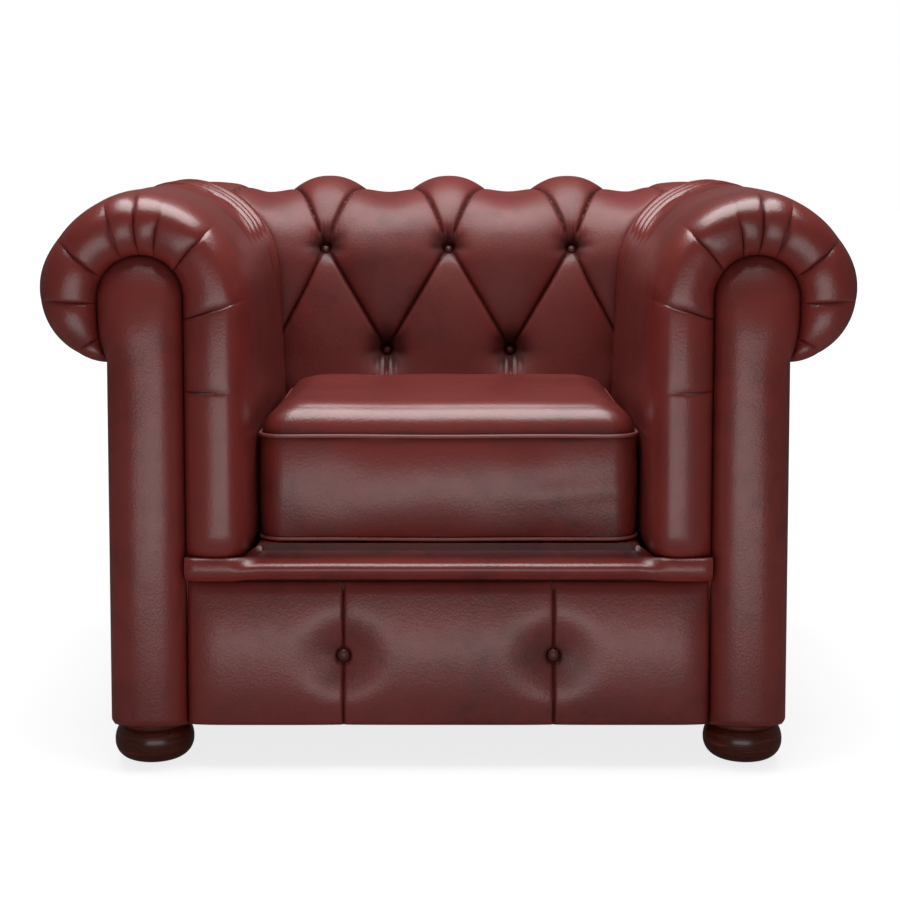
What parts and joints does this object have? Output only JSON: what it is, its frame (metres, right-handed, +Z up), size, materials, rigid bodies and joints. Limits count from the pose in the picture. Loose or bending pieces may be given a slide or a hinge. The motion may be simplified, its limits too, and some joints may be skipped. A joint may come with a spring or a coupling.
{
  "type": "chesterfield armchair",
  "caption": "Upholstered armchair with rolled arms, a deep-buttoned back, a loose piped seat cushion that lifts out, and turned bun feet.",
  "frame": {"origin": "on the floor, in the middle of the chair's width and depth", "axes": "+X to the right of someone who faces the chair, +Y towards the back of the chair, +Z up"},
  "size_m": [1.04, 0.9001, 0.7599],
  "materials": {
    "oxblood_leather": "glossy, waxed, lightly grained",
    "button_leather": "glossy, stretched over a domed shell",
    "piping_leather": "glossy, round",
    "foam": "open cell foam",
    "frame_wood": "planed, unfinished beech",
    "dark_wood": "turned, stained mahogany, satin lacquer",
    "lining_board": "bent fibreboard",
    "webbing": "woven elastic webbing",
    "hessian": "coarse plain weave",
    "dust_cloth": "thin non-woven cloth",
    "zip_tape": "woven tape with a coil",
    "zip_metal": "antique brass",
    "bolt_steel": "zinc plated",
    "glide_plastic": "hard, matt"
  },
  "bodies": {
    "armchair": {"arm_facing_left": "oxblood_leather", "arm_facing_right": "oxblood_leather", "arm_foam_left": "foam", "arm_foam_right": "foam", "arm_former_left": "frame_wood", "arm_former_right": "frame_wood", "arm_lining_board_left": "lining_board", "arm_lining_board_right": "lining_board", "arm_scroll_board_left": "frame_wood", "arm_scroll_board_right": "frame_wood", "arm_top_rail_left": "frame_wood", "arm_top_rail_right": "frame_wood", "arm_tuck_rail_left": "frame_wood", "arm_tuck_rail_right": "frame_wood", "back_buttons": "button_leather", "back_foam": "foam", "back_formers": "frame_wood", "back_lining_board": "lining_board", "back_post_left": "frame_wood", "back_post_right": "frame_wood", "back_seat_rail": "frame_wood", "back_top_rail": "frame_wood", "back_tuck_rail": "frame_wood", "bun_foot_back_left": "dark_wood", "bun_foot_back_right": "dark_wood", "bun_foot_front_left": "dark_wood", "bun_foot_front_right": "dark_wood", "buttoned_inside_back": "oxblood_leather", "corner_blocks": "frame_wood", "cross_webbing": "webbing", "dust_cover": "dust_cloth", "facing_board_left": "frame_wood", "facing_board_right": "frame_wood", "foot_bolts": "bolt_steel", "foot_glides": "glide_plastic", "front_border": "oxblood_leather", "front_buttons": "button_leather", "front_post_left": "frame_wood", "front_post_right": "frame_wood", "front_seat_rail": "frame_wood", "inside_arm_cover_left": "oxblood_leather", "inside_arm_cover_right": "oxblood_leather", "lengthwise_webbing": "webbing", "lip_rail": "frame_wood", "outside_arm_cover_left": "oxblood_leather", "outside_arm_cover_right": "oxblood_leather", "outside_back_cover": "oxblood_leather", "platform_cover": "oxblood_leather", "platform_pad": "foam", "pleated_arm_border_left": "oxblood_leather", "pleated_arm_border_right": "oxblood_leather", "seat_hessian": "hessian", "seat_lip": "oxblood_leather", "side_seat_rail_left": "frame_wood", "side_seat_rail_right": "frame_wood"},
    "seat_cushion": {"cushion_cover": "oxblood_leather", "cushion_foam": "foam", "cushion_piping": "piping_leather", "cushion_zip": "zip_tape"},
    "zip_slider": {"zip_slider": "zip_metal"}
  },
  "joints": [
    {"name": "seat_cushion_lift", "type": "slide", "parent": "armchair", "child": "seat_cushion", "axis": [0, 0, 1], "range_m": [0, 0.5]},
    {"name": "zip_slide", "type": "slide", "parent": "seat_cushion", "child": "zip_slider", "axis": [1, 0, 0], "range_m": [0, 0.388]}
  ]
}
